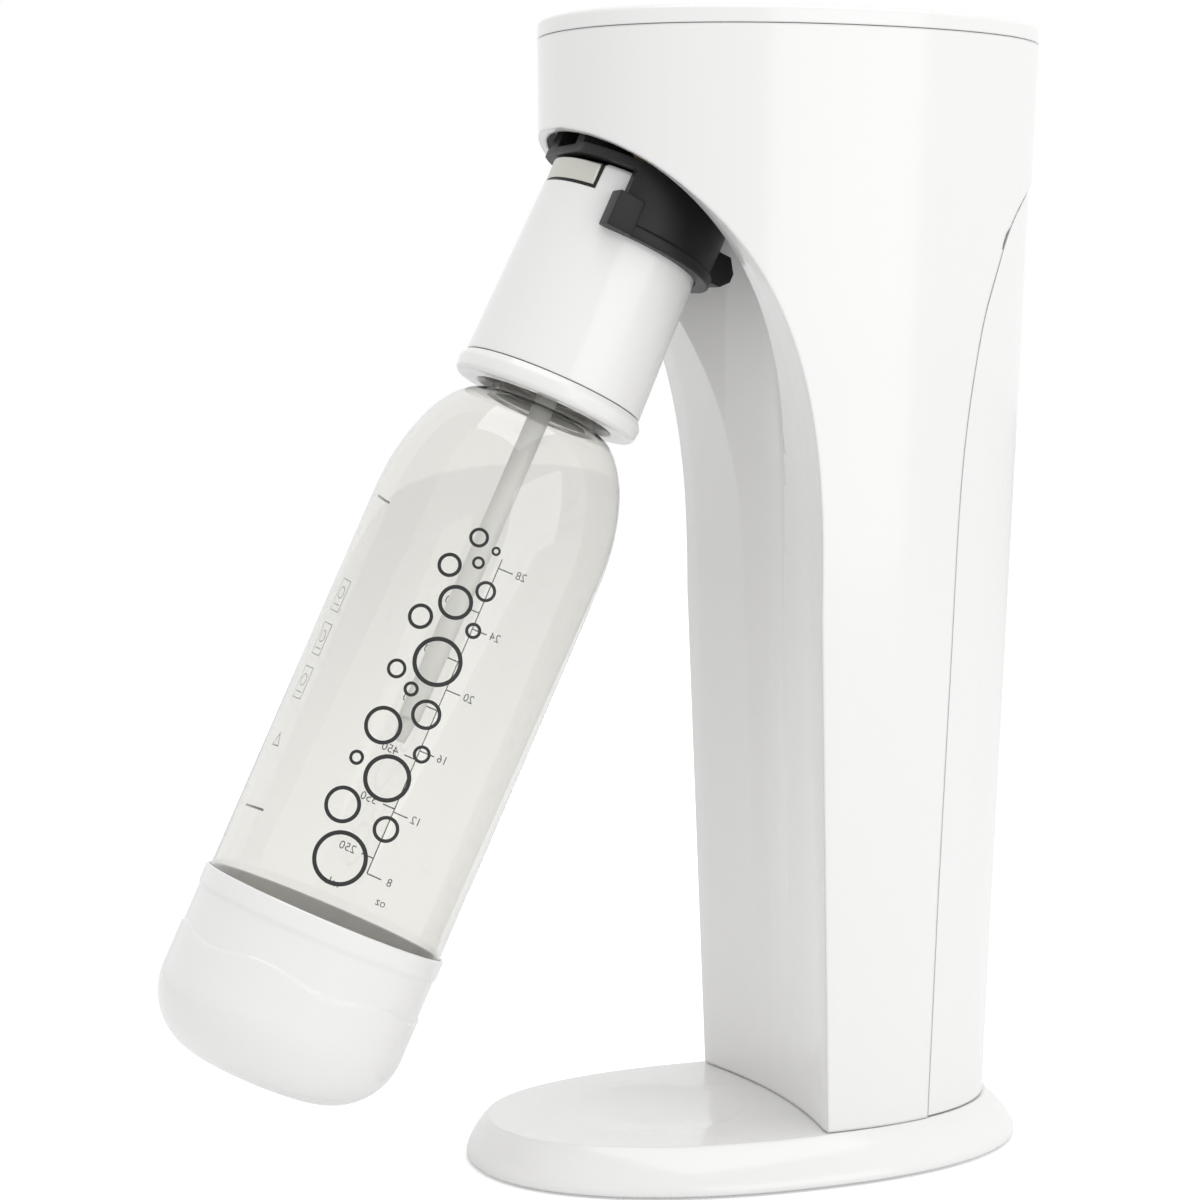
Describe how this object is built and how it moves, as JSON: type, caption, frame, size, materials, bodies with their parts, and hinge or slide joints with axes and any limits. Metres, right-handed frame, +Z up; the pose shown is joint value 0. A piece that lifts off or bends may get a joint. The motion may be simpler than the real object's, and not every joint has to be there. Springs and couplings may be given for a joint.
{
  "type": "soda carbonator",
  "caption": "Tall oval home soda carbonator on a flared base, with a tilting carriage that holds an infuser and a clear screw-on bottle; gas cylinder behind a rear cover.",
  "frame": {"origin": "centre of the underside of the base, on the surface that the feet stand on", "axes": "+Z up, the front (bottle side) faces -Y, +X is to the right of someone who looks at the back of the machine from the front"},
  "size_m": [0.1372, 0.3321, 0.414],
  "materials": {
    "white_shell": "gloss white",
    "black_moulding": "satin black",
    "valve_moulding": "matt dark grey",
    "silver_lever": "satin metallic",
    "clear_bottle": "clear gloss",
    "tube_plastic": "translucent white",
    "rubber": "matt",
    "steel": "satin",
    "brass": "machined",
    "grey_plastic": "matt grey"
  },
  "bodies": {
    "tower": {"base_plate": "white_shell", "base_bottom_cover": "grey_plastic", "rubber_foot_1": "rubber", "rubber_foot_2": "rubber", "rubber_foot_3": "rubber", "rubber_foot_4": "rubber", "base_screw_1": "steel", "base_screw_2": "steel", "base_screw_3": "steel", "base_screw_4": "steel", "main_housing": "white_shell", "top_lid": "white_shell", "cylinder_cradle": "grey_plastic", "valve_block": "valve_moulding", "safety_valve": "brass", "lever_pin": "steel", "lever_spring": "steel", "hose_fitting": "brass", "gas_hose": "grey_plastic", "carriage_pivot_pin": "steel"},
    "rear_cover": {"rear_cover": "white_shell"},
    "cylinder_travel": {"cylinder_washer": "rubber"},
    "gas_cylinder": {"gas_cylinder": "steel", "cylinder_valve": "brass"},
    "button": {"carbonation_button": "white_shell"},
    "rocker_lever": {"rocker_lever": "steel"},
    "actuator_pin": {"actuator_pin": "steel"},
    "carriage": {"carriage_frame": "black_moulding", "outlet_nozzle": "brass", "nozzle_seal": "rubber"},
    "carriage_latch": {"carriage_latch": "black_moulding"},
    "infuser": {"infuser_body": "white_shell", "infuser_cap": "black_moulding", "lever_frame": "black_moulding", "vent_valve": "brass", "release_spring": "steel", "infuser_ring": "white_shell", "thread_collar": "grey_plastic", "check_valve": "brass", "inlet_nipple": "brass", "carbonation_tube": "tube_plastic"},
    "release_lever": {"release_lever": "silver_lever"},
    "bottle_travel": {"neck_seal": "rubber"},
    "bottle": {"bottle": "clear_bottle", "base_cup": "white_shell"}
  },
  "joints": [
    {"name": "carriage_tilt", "type": "hinge", "parent": "tower", "child": "carriage", "pos_m": [0, -0.0623, 0.378], "axis": [1, 0, 0], "range_deg": [0, 24.9]},
    {"name": "latch_press", "type": "slide", "parent": "carriage", "child": "carriage_latch", "axis": [0, -0.907, 0.421], "range_m": [0, 0.0015], "stiffness_N_per_m": 600},
    {"name": "infuser_slide", "type": "slide", "parent": "carriage", "child": "infuser", "axis": [0, 0.421, 0.907], "range_m": [-0.03, 0]},
    {"name": "release_lever_press", "type": "slide", "parent": "infuser", "child": "release_lever", "axis": [0, 0.907, -0.421], "range_m": [0, 0.0025], "stiffness_N_per_m": 500},
    {"name": "bottle_travel", "type": "slide", "parent": "infuser", "child": "bottle_travel", "axis": [0, 0.421, 0.907], "range_m": [-0.0035, 0]},
    {"name": "bottle_screw", "type": "hinge", "parent": "bottle_travel", "child": "bottle", "pos_m": [0, -0.09143, 0.2504], "axis": [0, 0.421, 0.907], "range_deg": [-360, 0]},
    {"name": "rear_cover_slide", "type": "slide", "parent": "tower", "child": "rear_cover", "axis": [0, 1, 0], "range_m": [0, 0.12]},
    {"name": "cylinder_travel", "type": "slide", "parent": "tower", "child": "cylinder_travel", "axis": [0, 0, 1], "range_m": [-0.004, 0]},
    {"name": "cylinder_screw", "type": "hinge", "parent": "cylinder_travel", "child": "gas_cylinder", "pos_m": [0, 0.052, 0.2], "axis": [0, 0, 1], "range_deg": [-360, 0]},
    {"name": "button_press", "type": "slide", "parent": "tower", "child": "button", "axis": [0, 0, -1], "range_m": [0, 0.005], "stiffness_N_per_m": 700},
    {"name": "lever_tilt", "type": "hinge", "parent": "tower", "child": "rocker_lever", "pos_m": [0, 0.076, 0.3965], "axis": [1, 0, 0], "range_deg": [0, 4.3], "deforming": ["lever_spring"]},
    {"name": "actuator_pin_slide", "type": "slide", "parent": "tower", "child": "actuator_pin", "axis": [0, 0, -1], "range_m": [0, 0.0018]}
  ],
  "couplings": [
    {"joint": "lever_tilt", "follows": "button_press", "rad_per_m": 14.7},
    {"joint": "actuator_pin_slide", "follows": "button_press", "ratio": 0.353},
    {"joint": "bottle_travel", "follows": "bottle_screw", "m_per_rad": 0.000557},
    {"joint": "cylinder_travel", "follows": "cylinder_screw", "m_per_rad": 0.0006366}
  ]
}
